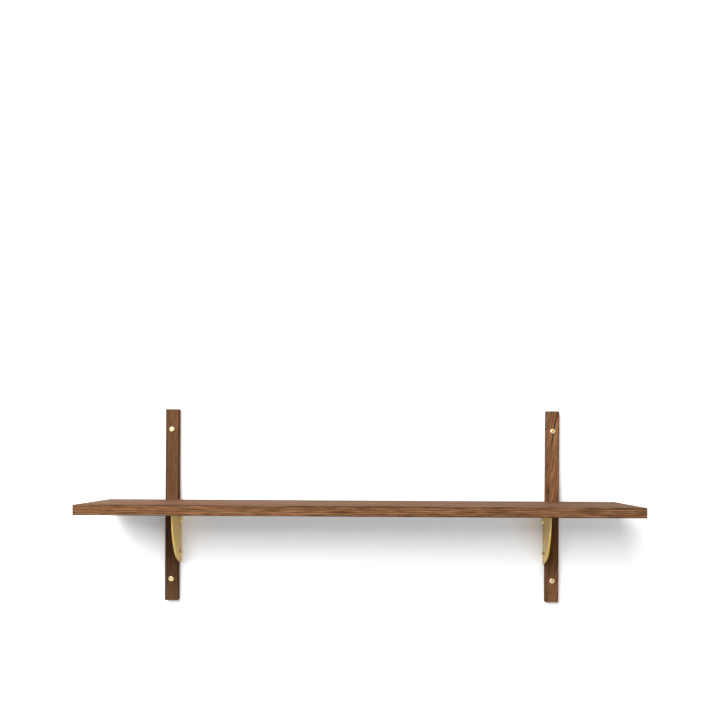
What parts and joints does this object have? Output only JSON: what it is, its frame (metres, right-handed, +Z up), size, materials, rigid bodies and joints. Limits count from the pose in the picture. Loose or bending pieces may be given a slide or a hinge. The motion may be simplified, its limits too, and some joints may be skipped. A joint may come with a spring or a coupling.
{
  "type": "wall shelf with brackets",
  "caption": "Long wooden wall shelf on upright battens, held by curved brass plate brackets and screwed to the wall.",
  "frame": {"origin": "on the wall's face, midway between the uprights, level with the board's top", "axes": "+X to the right along the board, +Y into the wall, +Z up"},
  "size_m": [1.15, 0.293, 0.435],
  "materials": {
    "board_oak": "oiled smoked oak, satin, long grain",
    "upright_oak": "oiled smoked oak, satin, grain along the batten",
    "bracket_brass": "satin brushed brass sheet",
    "head_brass": "bright turned brass",
    "insert_brass": "plain turned brass"
  },
  "bodies": {
    "root": {"shelf_board": "board_oak", "left_upright": "upright_oak", "right_upright": "upright_oak", "left_bracket": "bracket_brass", "right_bracket": "bracket_brass", "left_top_wall_screw": "head_brass", "left_bottom_wall_screw": "head_brass", "right_top_wall_screw": "head_brass", "right_bottom_wall_screw": "head_brass", "left_upper_bracket_bolt": "head_brass", "left_lower_bracket_bolt": "head_brass", "right_upper_bracket_bolt": "head_brass", "right_lower_bracket_bolt": "head_brass", "left_upper_threaded_insert": "insert_brass", "left_lower_threaded_insert": "insert_brass", "right_upper_threaded_insert": "insert_brass", "right_lower_threaded_insert": "insert_brass", "left_rear_shelf_screw": "insert_brass", "left_front_shelf_screw": "insert_brass", "right_rear_shelf_screw": "insert_brass", "right_front_shelf_screw": "insert_brass"}
  },
  "joints": []
}
